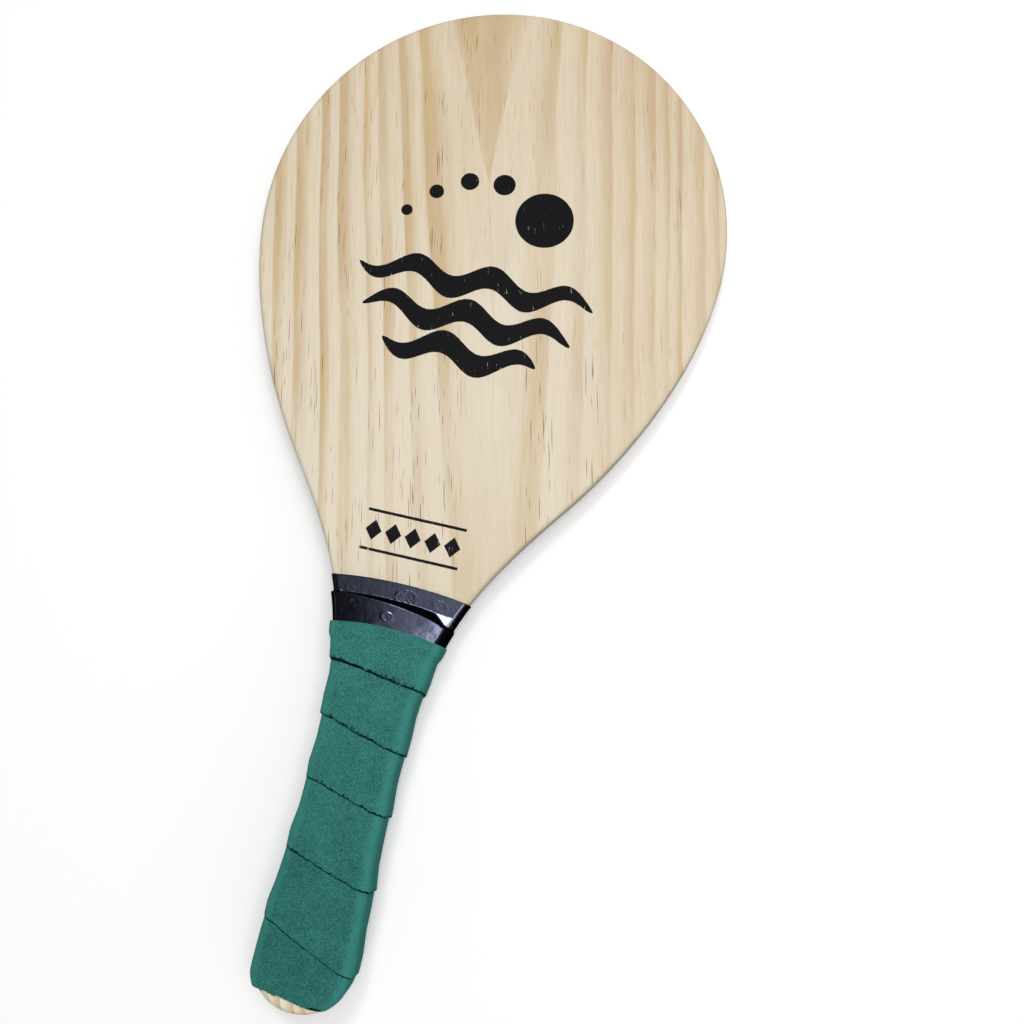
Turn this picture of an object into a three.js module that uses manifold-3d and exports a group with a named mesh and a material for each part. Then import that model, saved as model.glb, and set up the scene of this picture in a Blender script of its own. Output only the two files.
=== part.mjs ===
// A wooden beach racket: one pine board for blade and tongue, two cheeks glued on the tongue,
// a black tape collar round the neck and a grip tape wound round the handle.
// Millimetres. X runs across the blade, Y along the racket to the blade's tip, Z out of its front face.
// The origin is under the middle of the racket's length and width, in the plane its grip lies on.

import * as THREE from 'three';
import { mergeVertices } from 'three/addons/utils/BufferGeometryUtils.js';
import Module from 'manifold-3d';

const wasm = await Module();
wasm.setup();

// Board
const overallLength = 424;
const bladeWidth = 199.5;
const boardThickness = 9;
const boardEdgeRadius = 2;
const widestFromTip = 104.7;
const shoulderFromButt = 206.8;
const shoulderWidth = 114;
const waistFromButt = 80.8;
const waistWidth = 31.6;
const buttWidth = 36;
const buttRoundLength = 15.5;

// Tangents of the outline: width gained a side for each length at the shoulder, and how far each
// curve's handle reaches along the stretch that it belongs to
const shoulderSlopeShare = 0.74;
const handleEndShare = 0.5;
const neckLowShare = 0.453;
const neckHighShare = 0.392;
const flankLowShare = 0.288;
const flankHighShare = 0.32;

// Handle
const cheekLength = 153.4;
const cheekThickness = 6.4;
const handleEdgeRadius = 5;
const glueLine = 0.3;

// The lines across the neck bow towards the tip in the middle: the cheeks' ends and the tapes' edges
const neckBow = 2.2;
const bowRunIn = 16;

// Collar tape, which bridges the step at the cheeks' upper ends
const collarThickness = 0.5;
const collarGap = 0.3;
const collarBelowStep = 13.2;
const collarAboveStep = 9.8;
const collarCrest = 0.4;
const collarRamp = 2.6;

// Grip tape, a strip wound from the butt upwards, each turn lapping over the one below
const gripThickness = 0.85;
const gripTapeWidth = 31;
const gripFromButt = 5.5;
const gripOverCollar = 4.6;
const gripGap = 0.3;
const turnGap = 0.55;
const lapClearance = 0.6;
const lapRamp = 14;
const collarLapRamp = 2;
const seamFromGripTop = 21.4;
const topPitch = 24.2;
const pitchGrowth = 1.1;
const tapeEndWidth = 3;

// Facets
const boardBevelSteps = 3;
const cornerPoints = 5;
const facePoints = 3;
const stepLinePoints = 8;
const stationSpacingShare = 0.02;
const gapSamples = 6;
const overrun = 10;

// Places that follow from the sizes above
const buttY = -overallLength / 2;
const tipY = overallLength / 2;
const widestY = tipY - widestFromTip;
const shoulderY = buttY + shoulderFromButt;
const waistY = buttY + waistFromButt;
const buttRoundY = buttY + buttRoundLength;
const stepY = buttY + cheekLength;
const collarLowY = stepY - collarBelowStep;
const collarHighY = stepY + collarAboveStep;
const crestY = stepY + collarCrest;
const footY = crestY + collarRamp;
const gripLowY = buttY + gripFromButt;
const gripHighY = collarLowY + gripOverCollar;
const seamY = gripHighY - seamFromGripTop;
const boardHalf = boardThickness / 2;
const handleHalf = boardHalf + glueLine + cheekThickness;
const turnRise = gripThickness + turnGap;
const collarRise = collarThickness + collarGap;

// Right half of the outline from the butt's middle to the tip's middle: an elliptic butt, the
// handle's waist, the hollow neck, the flank and an elliptic crown.
function rightOutline() {
  const stretch = shoulderY - waistY;
  const flank = widestY - shoulderY;
  const handleEnd = (waistY - buttRoundY) * handleEndShare;
  const [butt, waist, shoulder, blade] = [buttWidth, waistWidth, shoulderWidth, bladeWidth].map((w) => w / 2);
  const point = (x, y) => new THREE.Vector2(x, y);
  const along = (side, share) => point(
    shoulder + side * share * shoulderSlopeShare,
    shoulderY + side * share,
  );
  const pieces = [
    [new THREE.EllipseCurve(0, buttRoundY, butt, buttRoundLength, -Math.PI / 2, 0), 8],
    [new THREE.CubicBezierCurve(point(butt, buttRoundY), point(butt, buttRoundY + handleEnd),
      point(waist, waistY - handleEnd), point(waist, waistY)), 6],
    [new THREE.CubicBezierCurve(point(waist, waistY), point(waist, waistY + stretch * neckLowShare),
      along(-stretch, neckHighShare), point(shoulder, shoulderY)), 20],
    [new THREE.CubicBezierCurve(point(shoulder, shoulderY), along(flank, flankLowShare),
      point(blade, widestY - flank * flankHighShare), point(blade, widestY)), 12],
    [new THREE.EllipseCurve(0, widestY, blade, widestFromTip, 0, Math.PI / 2), 18],
  ];
  return pieces.flatMap(([curve, steps], i) => curve.getPoints(steps).slice(i === 0 ? 0 : 1));
}

const rightSide = rightOutline();
const leftSide = rightSide.slice(1, -1).reverse().map((p) => new THREE.Vector2(-p.x, p.y));
const outline = [...rightSide, ...leftSide];

// Half of the racket's width at a place along it, read off the outline
function halfWidthAt(y) {
  const next = rightSide.findIndex((p, i) => i > 0 && p.y >= y);
  const [low, high] = [rightSide[next - 1], rightSide[next]];
  return THREE.MathUtils.mapLinear(y, low.y, high.y, low.x, high.x);
}

// Where a line across the racket runs, at a share of its half width. It is straight on the handle,
// and bows more and more up to the collar.
function bowed(y, share) {
  const bow = neckBow * THREE.MathUtils.clamp((y - collarLowY + bowRunIn) / bowRunIn, 0, 1);
  return y - bow * share * share;
}

function toSolid(geometry) {
  geometry.deleteAttribute('normal');
  geometry.deleteAttribute('uv');
  const merged = mergeVertices(geometry);
  return new wasm.Manifold(new wasm.Mesh({
    numProp: 3,
    vertProperties: new Float32Array(merged.attributes.position.array),
    triVerts: new Uint32Array(merged.index.array),
  }));
}

function toGeometry(solid) {
  const mesh = solid.getMesh();
  const geometry = new THREE.BufferGeometry();
  geometry.setAttribute('position', new THREE.BufferAttribute(mesh.vertProperties, 3));
  geometry.setIndex(new THREE.BufferAttribute(mesh.triVerts, 1));
  geometry.computeVertexNormals();
  return geometry;
}

// The whole outline as a plate about the middle plane, its long edges rounded or left square
function plate(thickness, radius, steps) {
  const geometry = new THREE.ExtrudeGeometry(new THREE.Shape(outline), {
    depth: thickness - 2 * radius,
    bevelEnabled: radius > 0,
    bevelThickness: radius,
    bevelSize: radius,
    bevelOffset: -radius,
    bevelSegments: steps,
    steps: 1,
  });
  return toSolid(geometry.translate(0, 0, radius - thickness / 2));
}

// Everything below the step's bowed line, between two heights
function handleSpace(lowZ, highZ) {
  const half = halfWidthAt(stepY);
  const across = (share) => new THREE.Vector2(share * half, bowed(stepY, share));
  const line = Array.from({ length: stepLinePoints + 1 }, (_, k) => across(1 - 2 * k / stepLinePoints));
  const side = half + overrun;
  const foot = buttY - overrun;
  const space = new THREE.Shape([
    new THREE.Vector2(-side, foot), new THREE.Vector2(side, foot), new THREE.Vector2(side, line[0].y),
    ...line, new THREE.Vector2(-side, line[0].y),
  ]);
  const block = new THREE.ExtrudeGeometry(space, { depth: highZ - lowZ, bevelEnabled: false });
  return toSolid(block.translate(0, 0, lowZ));
}

function boardGeometry() {
  const blade = plate(boardThickness, boardEdgeRadius, boardBevelSteps);
  const tongue = plate(boardThickness, 0, 1).intersect(handleSpace(-boardThickness, boardThickness));
  return toGeometry(blade.add(tongue));
}

function cheekGeometry(side) {
  const block = plate(2 * handleHalf, handleEdgeRadius, cornerPoints - 1);
  const inner = side * (boardHalf + glueLine);
  const outer = side * (handleHalf + overrun);
  return toGeometry(block.intersect(handleSpace(Math.min(inner, outer), Math.max(inner, outer))));
}

// Steps round the handle's section, from the right edge over the front to the left edge and back
// under it: each edge is a quarter circle, and the front and the back have points across them.
function roundTheSection() {
  const spots = [];
  [[1, 1], [-1, 1], [-1, -1], [1, -1]].forEach(([toRight, toFront], corner) => {
    for (let k = 0; k < cornerPoints; k += 1) {
      const angle = (corner + k / (cornerPoints - 1)) * Math.PI / 2;
      spots.push({ across: toRight, toFront, angle });
    }
    for (let k = 1; corner % 2 === 0 && k <= facePoints; k += 1) {
      const across = toRight * (1 - 2 * k / (facePoints + 1));
      spots.push({ across, toFront, angle: (corner + 1) * Math.PI / 2 });
    }
  });
  return spots;
}

const sectionSpots = roundTheSection();
const turnSteps = sectionSpots.length;

// A point off the wood's surface, at a step round the section
function offWood(step, y, offset) {
  const { across, toFront, angle } = sectionSpots[step % turnSteps];
  const onBoard = THREE.MathUtils.clamp((y - crestY) / (footY - crestY), 0, 1);
  const halfThickness = THREE.MathUtils.lerp(handleHalf, boardHalf, onBoard);
  const radius = THREE.MathUtils.lerp(handleEdgeRadius, boardEdgeRadius, onBoard);
  const straight = halfWidthAt(y) - radius;
  const bowedY = bowed(y, (across * straight + radius * Math.cos(angle)) / (straight + radius));
  return new THREE.Vector3(
    across * (halfWidthAt(bowedY) - radius) + (radius + offset) * Math.cos(angle),
    bowedY,
    toFront * (halfThickness - radius) + (radius + offset) * Math.sin(angle),
  );
}

// A closed band through sections of equally many points: joined end to end, or capped. A section
// runs up its outer side and back down its inner side.
function band(sections, joined) {
  const count = sections[0].length;
  const corner = (i, j) => (i % sections.length) * count + (j % count);
  const faces = [];
  for (let i = 0; i < sections.length - (joined ? 0 : 1); i += 1) {
    for (let j = 0; j < count; j += 1) {
      faces.push(corner(i, j), corner(i, j + 1), corner(i + 1, j));
      faces.push(corner(i + 1, j), corner(i, j + 1), corner(i + 1, j + 1));
    }
  }
  for (let j = 0; !joined && j < count / 2 - 1; j += 1) {
    const [a, b, c, d] = [j, j + 1, count - 2 - j, count - 1 - j];
    const last = (k) => corner(sections.length - 1, k);
    faces.push(corner(0, a), corner(0, c), corner(0, b), corner(0, a), corner(0, d), corner(0, c));
    faces.push(last(a), last(b), last(c), last(a), last(c), last(d));
  }
  const geometry = new THREE.BufferGeometry().setFromPoints(sections.flat());
  geometry.setIndex(faces);
  geometry.computeVertexNormals();
  return geometry;
}

// A tape's section at one step: its outer side up through the stations, its inner side back
function tapeSection(step, stations, offsetAt, thickness) {
  const outer = stations.map((y) => offWood(step, y, offsetAt(y) + thickness));
  const inner = stations.map((y) => offWood(step, y, offsetAt(y)));
  return [...outer, ...inner.reverse()];
}

function collarGeometry() {
  const neck = (collarLowY + crestY) / 2;
  const stations = [collarLowY, neck, crestY, footY, (footY + collarHighY) / 2, collarHighY];
  const sections = [];
  for (let step = 0; step < turnSteps; step += 1) {
    sections.push(tapeSection(step, stations, () => collarGap, collarThickness));
  }
  return band(sections, true);
}

// Share of a turn that each step has gone round the handle, by length
function turnShares() {
  const points = [];
  for (let step = 0; step <= turnSteps; step += 1) {
    points.push(offWood(step, waistY, 0));
  }
  const lengths = [0];
  for (let step = 1; step <= turnSteps; step += 1) {
    lengths.push(lengths[step - 1] + points[step].distanceTo(points[step - 1]));
  }
  return lengths.map((length) => length / lengths[turnSteps]);
}

// Places kept in order and apart between two ends, the ends included
function spread(places, low, high) {
  const apart = (high - low) * stationSpacingShare;
  const inside = places.map((y) => THREE.MathUtils.clamp(y, low, high)).sort((a, b) => a - b);
  const sorted = [low, ...inside, high];
  for (let k = 1; k < sorted.length - 1; k += 1) {
    sorted[k] = Math.max(sorted[k], sorted[k - 1] + apart);
  }
  for (let k = sorted.length - 2; k > 0; k -= 1) {
    sorted[k] = Math.min(sorted[k], sorted[k + 1] - apart);
  }
  return sorted;
}

// The winding: a turn's lower edge climbs by a pitch that grows towards the butt. The strip is
// trimmed level at both ends, where it starts and ends as a narrow tongue. Where it laps over the
// turn below, or over the collar, it stands off by what lies under it.
function windingSections() {
  const shares = turnShares();
  const lowerEdge = (step) => {
    const turn = Math.floor(step / turnSteps);
    const turns = turn + shares[step - turn * turnSteps];
    return seamY + topPitch * turns - pitchGrowth * turns * (turns + 1) / 2;
  };
  const lowAt = (step) => Math.max(lowerEdge(step), gripLowY);
  const highAt = (step) => Math.min(lowerEdge(step) + gripTapeWidth, gripHighY);
  let first = 0;
  while (lowerEdge(first - 1) + gripTapeWidth > gripLowY + tapeEndWidth) {
    first -= 1;
  }
  let last = 0;
  while (lowerEdge(last + 1) < gripHighY - tapeEndWidth) {
    last += 1;
  }
  const sections = [];
  for (let step = first; step <= last; step += 1) {
    const lapEnd = highAt(step - turnSteps) + lapClearance;
    const lapped = step - turnSteps >= first - 1;
    const collarEdge = collarLowY - collarGap;
    const fallAt = (y, start, length) => THREE.MathUtils.clamp((y - start) / length, 0, 1);
    const offsetAt = (y) => gripGap
      + collarRise * fallAt(y, collarEdge - collarLapRamp, collarLapRamp)
      + (lapped ? turnRise * (1 - fallAt(y, lapEnd, lapRamp)) : 0);
    const bends = lowAt(step) < waistY
      ? [(gripLowY + buttRoundY) / 2, buttRoundY]
      : [collarEdge - collarLapRamp, collarEdge];
    const middle = (lapEnd + lapRamp + highAt(step)) / 2;
    const stations = spread([lapEnd, lapEnd + lapRamp, middle, ...bends], lowAt(step), highAt(step));
    const round = step - Math.floor(step / turnSteps) * turnSteps;
    sections.push(tapeSection(round, stations, offsetAt, gripThickness));
  }
  return sections;
}

// Least distance between a turn and the one above it, on points along their sections
function leastGap(sections) {
  const dense = sections.map((section) => section.flatMap((point, j) => {
    const next = section[(j + 1) % section.length];
    return Array.from({ length: gapSamples }, (_, k) => point.clone().lerp(next, k / gapSamples));
  }));
  let least = Infinity;
  dense.forEach((lower, i) => {
    dense.slice(i + turnSteps - 1, i + turnSteps + 2).forEach((upper) => {
      lower.forEach((a) => upper.forEach((b) => {
        least = Math.min(least, a.distanceTo(b));
      }));
    });
  });
  return least;
}

const winding = windingSections();
console.log('grip tape steps', winding.length, 'least gap to itself', leastGap(winding).toFixed(2), 'mm');

const pine = { color: 0xe6d9bd, roughness: 0.62, metalness: 0 };
const vinyl = { color: 0x14141a, roughness: 0.28, metalness: 0 };
const felt = { color: 0x2c7a66, roughness: 0.92, metalness: 0 };

function piece(name, geometry, look) {
  const mesh = new THREE.Mesh(geometry, new THREE.MeshStandardMaterial(look));
  mesh.name = name;
  return mesh;
}

const racket = new THREE.Group();
racket.position.z = -Math.min(...winding.flat().map((point) => point.z));
racket.add(piece('blade_board', boardGeometry(), pine));
racket.add(piece('front_cheek', cheekGeometry(1), pine));
racket.add(piece('back_cheek', cheekGeometry(-1), pine));
racket.add(piece('collar_tape', collarGeometry(), vinyl));
racket.add(piece('grip_tape', band(winding, false), felt));

export default racket;
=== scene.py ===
# Looks of the wooden beach racket: pine blade and handle, printed face, black collar, wound green grip.
# Shapes are worked out in millimetres in the part's own frame and become metres when a mesh is made.

import bpy
import numpy as np
from mathutils import Matrix, Vector


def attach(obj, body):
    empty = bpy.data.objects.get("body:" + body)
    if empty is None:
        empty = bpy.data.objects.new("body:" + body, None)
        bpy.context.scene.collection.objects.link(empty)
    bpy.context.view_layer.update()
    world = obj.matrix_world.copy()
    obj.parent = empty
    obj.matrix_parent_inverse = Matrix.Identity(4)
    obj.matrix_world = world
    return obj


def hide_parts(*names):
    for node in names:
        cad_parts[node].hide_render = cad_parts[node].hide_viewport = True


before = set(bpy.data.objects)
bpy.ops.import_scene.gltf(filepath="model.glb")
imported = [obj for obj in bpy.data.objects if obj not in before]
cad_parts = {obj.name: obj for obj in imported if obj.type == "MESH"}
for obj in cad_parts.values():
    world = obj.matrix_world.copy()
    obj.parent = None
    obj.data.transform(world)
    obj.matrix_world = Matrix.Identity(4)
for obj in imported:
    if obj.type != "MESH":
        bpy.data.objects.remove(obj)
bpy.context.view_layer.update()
print("frame loaded:", sorted(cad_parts))

mm = 0.001

# Camera: the photograph's place and angle, for a square picture

cameraValues = {
    "place": (68.66, -82.2, 414.65),   # mm in the part's frame
    "focal": 1000,                    # pixels, for a picture 1024 pixels wide
    "picture": 1024,
    "squareOn": (38.3, 194.9),        # pixels right of and below the middle, where the face is seen square on
    "lean": 12.63,                    # degrees the racket leans clockwise
}


def makeCamera(values):
    down = np.array([*values["squareOn"], values["focal"]], float)
    normal = -down / np.linalg.norm(down)
    lean = np.radians(values["lean"])
    along = np.array([np.sin(lean), -np.cos(lean), 0])
    along -= normal * (along @ normal)
    along /= np.linalg.norm(along)
    # rows are the part's axes seen by a camera that looks along its own third axis, second axis down
    axes = np.array([np.cross(along, normal), along, normal])
    pose = np.eye(4)
    pose[:3, :3] = axes @ np.diag([1, -1, -1])
    pose[:3, 3] = np.array(values["place"]) * mm
    data = bpy.data.cameras.new("photoCamera")
    data.sensor_width = 36
    data.lens = 36 * values["focal"] / values["picture"]
    data.clip_start, data.clip_end = 0.01, 50
    camera = bpy.data.objects.new("photoCamera", data)
    camera.matrix_world = Matrix(pose.tolist())
    bpy.context.scene.collection.objects.link(camera)
    bpy.context.scene.camera = camera


makeCamera(cameraValues)
print("camera set")

# The racket's outline, the same curves as the solids have

outlineValues = {
    "length": 424, "bladeWidth": 199.5, "widestFromTip": 104.7,
    "shoulderFromButt": 206.8, "shoulderWidth": 114, "shoulderSlope": 0.74,
    "waistFromButt": 80.8, "waistWidth": 31.6, "buttWidth": 36, "buttRound": 15.5,
    "handleEnd": 0.5, "neckLow": 0.453, "neckHigh": 0.392, "flankLow": 0.288, "flankHigh": 0.32,
}

butt = -outlineValues["length"] / 2
tip = outlineValues["length"] / 2
buttCentre = butt + outlineValues["buttRound"]
widest = tip - outlineValues["widestFromTip"]
middleHeight = 14.55                  # mm, the board's middle plane above the grip's lowest face
boardHalf = 4.5
handleHalf = 11.2


def bezier(a, b, c, d, count):
    # (1-t)^3 a + 3(1-t)^2 t b + 3(1-t) t^2 c + t^3 d
    t = np.linspace(0, 1, count)[:, None]
    a, b, c, d = (np.array(p, float) for p in (a, b, c, d))
    return (1 - t) ** 3 * a + 3 * (1 - t) ** 2 * t * b + 3 * (1 - t) * t * t * c + t ** 3 * d


def buttArc(turn):
    return np.stack([outlineValues["buttWidth"] / 2 * np.cos(turn),
                     buttCentre + outlineValues["buttRound"] * np.sin(turn)], 1)


def crownArc(turn):
    return np.stack([outlineValues["bladeWidth"] / 2 * np.cos(turn),
                     widest + outlineValues["widestFromTip"] * np.sin(turn)], 1)


def rightOutline(values):
    halves = [values[k] / 2 for k in ("buttWidth", "waistWidth", "shoulderWidth", "bladeWidth")]
    buttHalf, waistHalf, shoulderHalf, bladeHalf = halves
    waistY, shoulderY = butt + values["waistFromButt"], butt + values["shoulderFromButt"]
    stretch, flank = shoulderY - waistY, widest - shoulderY
    end = (waistY - buttCentre) * values["handleEnd"]

    def slope(step):
        return shoulderHalf + step * values["shoulderSlope"], shoulderY + step

    parts = [
        buttArc(np.radians(np.linspace(-90, 0, 60))),
        bezier((buttHalf, buttCentre), (buttHalf, buttCentre + end),
               (waistHalf, waistY - end), (waistHalf, waistY), 120),
        bezier((waistHalf, waistY), (waistHalf, waistY + stretch * values["neckLow"]),
               slope(-stretch * values["neckHigh"]), (shoulderHalf, shoulderY), 240),
        bezier((shoulderHalf, shoulderY), slope(flank * values["flankLow"]),
               (bladeHalf, widest - flank * values["flankHigh"]), (bladeHalf, widest), 160),
        crownArc(np.radians(np.linspace(0, 90, 240))),
    ]
    return np.concatenate([parts[0]] + [p[1:] for p in parts[1:]])


outlineCurve = rightOutline(outlineValues)


def halfWidth(y):
    return np.interp(y, outlineCurve[:, 1], outlineCurve[:, 0])


def smooth(low, high, x):
    t = np.clip((x - low) / (high - low), 0, 1)
    return t * t * (3 - 2 * t)


def waver(x, y, seed):
    # smooth random field from -1 to 1, one feature per unit: lattice values eased between corners
    x, y = np.broadcast_arrays(np.asarray(x, float), np.asarray(y, float))
    table = np.random.default_rng(seed).uniform(-1, 1, (64, 64))
    i, j = np.floor(x).astype(int), np.floor(y).astype(int)
    s, t = smooth(0, 1, x - i), smooth(0, 1, y - j)
    corners = [table[(i + a) % 64, (j + b) % 64] for a in (0, 1) for b in (0, 1)]
    return (corners[0] * (1 - s) * (1 - t) + corners[1] * (1 - s) * t
            + corners[2] * s * (1 - t) + corners[3] * s * t)


# Meshes

def gridFaces(rows, columns, closeColumns=False):
    i = np.arange(rows - 1)[:, None]
    j = np.arange(columns if closeColumns else columns - 1)[None, :]
    near, far = i * columns, (i + 1) * columns
    left, right = j, (j + 1) % columns
    return np.stack([near + left, near + right, far + right, far + left], -1).reshape(-1, 4)


def stripCaps(rows, columns):
    # the two end sections of an open band, each closed by pairing its outer side with its inner side
    j = np.arange(columns // 2 - 1)
    section = np.stack([j, columns - 1 - j, columns - 2 - j, j + 1], 1)
    return np.concatenate([section, (rows - 1) * columns + section[:, ::-1]])


def taperedCaps(rows, columns, half):
    # the two cut ends of the grip tape, outer side joined to inner side station by station
    j = np.arange(half - 1)
    section = np.stack([j, j + 1, 2 * half - 1 - j, 2 * half - j], 1)
    section = np.concatenate([section, [[half - 1, half, half + 1, half + 1]]])
    return np.concatenate([section, (rows - 1) * columns + section[:, ::-1]])


def makePiece(name, points, faces, material, node, fields=None):
    # welds coincident points, turns the faces outwards and hands the piece to the frame
    points = points.reshape(-1, 3)
    _, kept, place = np.unique(np.round(points, 4), axis=0, return_index=True, return_inverse=True)
    faces = place.reshape(-1)[faces]
    points = points[kept]
    a, b, c, d = (points[faces[:, k]] for k in range(4))
    volume = np.einsum("ij,ij->i", a, np.cross(b, c) + np.cross(c, d)).sum()
    if volume < 0:
        faces = faces[:, ::-1]
    rings = [list(dict.fromkeys(f)) for f in faces.tolist()]
    rings = [f for f in rings if len(f) > 2]
    mesh = bpy.data.meshes.new(name)
    mesh.from_pydata((points * mm).tolist(), [], rings)
    for key, values in (fields or {}).items():
        layer = mesh.attributes.new(key, "FLOAT", "POINT")
        layer.data.foreach_set("value", values.reshape(-1)[kept].astype(np.float32))
    mesh.shade_smooth()
    mesh.update()
    mesh.materials.append(material)
    piece = bpy.data.objects.new(name, mesh)
    bpy.context.scene.collection.objects.link(piece)
    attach(piece, "root")
    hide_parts(node)
    print("made", name, len(mesh.vertices), "points", len(mesh.polygons), "faces")
    return piece


# Materials

def paint(red, green, blue):
    # screen colour, 0 to 255, as the linear colour that nodes take
    c = np.array([red, green, blue]) / 255
    linear = np.where(c <= 0.04045, c / 12.92, ((c + 0.055) / 1.055) ** 2.4)
    return (*linear.tolist(), 1.0)


class Wire:
    # a number running between a material's nodes, so that patterns are written as plain arithmetic

    def __init__(self, tree, socket):
        self.tree, self.socket = tree, socket

    def put(self, kind, *values, output=0, **settings):
        node = self.tree.nodes.new("ShaderNode" + kind)
        for key, value in settings.items():
            setattr(node, key, value)
        for socket, value in zip(node.inputs, values):
            if isinstance(value, Wire):
                self.tree.links.new(value.socket, socket)
            elif value is not None:
                socket.default_value = value
        return Wire(self.tree, node.outputs[output])

    def math(self, operation, *others):
        return self.put("Math", self, *others, operation=operation)

    def __add__(self, other):
        return self.math("ADD", other)

    def __sub__(self, other):
        return self.math("SUBTRACT", other)

    def __rsub__(self, other):
        return self.put("Math", other, self, operation="SUBTRACT")

    def __mul__(self, other):
        return self.math("MULTIPLY", other)

    def __truediv__(self, other):
        return self.math("DIVIDE", other)

    def __pow__(self, other):
        return self.math("POWER", other)

    __radd__, __rmul__ = __add__, __mul__

    def smooth(self, low, high, atLow=0.0, atHigh=1.0):
        return self.put("MapRange", self, low, high, atLow, atHigh, interpolation_type="SMOOTHSTEP")

    def joined(self, *others):
        return self.put("CombineXYZ", self, *others)

    def noise(self, detail=2.0, roughness=0.5, scale=1.0):
        return self.put("TexNoise", self, None, scale, detail, roughness, noise_dimensions="3D")

    def cells(self, output):
        # random spots, one to a unit square: 0 gives the distance from the nearest, 1 its own colour
        return self.put("TexVoronoi", self, None, 1.0, 0.0, 0.5, 2.0, 1.0, 1.0, 1.0, output=output,
                        voronoi_dimensions="2D", feature="F1")

    def over(self, under, colour):
        # colour laid over the colour under it, as thickly as this number says
        node = self.tree.nodes.new("ShaderNodeMix")
        node.data_type = "RGBA"
        self.tree.links.new(self.socket, node.inputs[0])
        for socket, value in ((node.inputs[6], under), (node.inputs[7], colour)):
            if isinstance(value, Wire):
                self.tree.links.new(value.socket, socket)
            else:
                socket.default_value = value
        return Wire(self.tree, node.outputs[2])


def split(vector):
    node = vector.tree.nodes.new("ShaderNodeSeparateXYZ")
    vector.tree.links.new(vector.socket, node.inputs[0])
    return [Wire(vector.tree, out) for out in node.outputs]


def inMillimetres(place):
    x, y, z = split(place)
    return (x / mm).joined(y / mm, z / mm)


def meshField(place, name):
    # a number kept with the mesh's points
    return place.put("Attribute", attribute_name=name, output=2)


def startMaterial(name):
    material = bpy.data.materials.new(name)
    material.use_nodes = True
    tree = material.node_tree
    shader = tree.nodes["Principled BSDF"]
    coordinates = tree.nodes.new("ShaderNodeTexCoord")
    return material, shader, Wire(tree, coordinates.outputs["Object"])


def connect(shader, **wires):
    for key, wire in wires.items():
        shader.id_data.links.new(wire.socket, shader.inputs[key.replace("_", " ")])


def settle(shader, **values):
    for key, value in values.items():
        shader.inputs[key.replace("_", " ")].default_value = value


def bumpFrom(height, distance, strength):
    node = height.tree.nodes.new("ShaderNodeBump")
    node.inputs["Strength"].default_value = strength
    node.inputs["Distance"].default_value = distance
    height.tree.links.new(height.socket, node.inputs["Height"])
    return Wire(height.tree, node.outputs[0])


# Pine: growth rings about a pith that lies under the board and rises towards the tip, so that the
# face shows a pointed flame in its middle and nearly straight stripes at its sides

boardLog = {
    "turn": 13.5,                     # degrees that the grain runs off the racket's length
    "pithAcross": 25.2,               # mm across the grain
    "pithDepth": 30.0,                # mm under the front face, level with the flame's point
    "flamePoint": 126.5,              # mm along the grain
    "climb": 2.9, "opening": 0.041,   # how fast the flame's outline closes below its point and opens above it
    "face": 19.05,                    # mm, height of the front face
    "flame": 0.66,
    "drift": 7, "ripple": 1.6,        # mm that the rings wander, slowly and finely
    "fibre": 0.5, "thread": 0.4, "pores": 0.2, "cloud": 0.5,       # how much each noise tints the wood
    "leftRings": (30, 41.5, 49, 57.7, 63.4, 73.8, 81.2, 91.7, 100, 109),
    "rightRings": (30, 41.5, 50.9, 60.1, 68.6, 76.8, 82.4, 87.6, 96.6, 102),
    "pale": (232, 221, 199),
    "tan": (205, 178, 142),
    "amber": (205, 178, 133),
    "streak": (92, 56, 28), "rust": (156, 98, 50),
    "ringStrength": 0.88, "ripeAlong": (-10, 60), "ripeLow": 0.6, "rightShare": 0.6,
    "warmTip": 0.24, "warmRight": 0.2, "lowStreaks": 1.25, "calmHalf": (8, 17),
    # streaky strips: mm beside the pith and half width
    "sheaves": ((-31, 4.5), (-21, 2.5), (13.5, 2.5), (21, 4.5), (41, 3.5)),
    # sets of streaks: mm of width and length for each, the chance that one is there, and the pattern's shift
    "streaks": ((1.5, 54, 0.55, 0.0), (2.0, 92, 0.5, 17.3), (1.2, 32, 0.5, 5.7), (1.7, 74, 0.5, 41.1)),
    "streakStrength": 2.1,
}
cheekRings = (24, 28, 31.5, 36, 39.5, 44, 48.5, 52, 57, 62)
cheekLog = dict(
    boardLog, turn=-2.0, pithAcross=-31.0, pithDepth=24.0, face=26.0, climb=0.6, flamePoint=0.0,
    leftRings=cheekRings, rightRings=cheekRings,
    flame=0.0, sheaves=(), pale=(255, 247, 224), tan=(216, 180, 130), ringStrength=1.4,
    streakStrength=0.35, calmHalf=(0, 1),
)


def ringNumber(radius, rings, reach=120, most=12):
    # counts the rings within a radius; the curve's axes run to reach, in mm, and to most
    node = radius.tree.nodes.new("ShaderNodeFloatCurve")
    curve = node.mapping.curves[0]
    curve.points[0].location = (0, 0)
    curve.points[1].location = (1, (len(rings) + 1) / most)
    for k, ring in enumerate(rings):
        curve.points.new(ring / reach, (k + 1) / most)
    for point in curve.points:
        point.handle_type = "VECTOR"
    node.mapping.update()
    radius.tree.links.new((radius / reach).socket, node.inputs["Value"])
    return Wire(radius.tree, node.outputs[0]) * most


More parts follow.
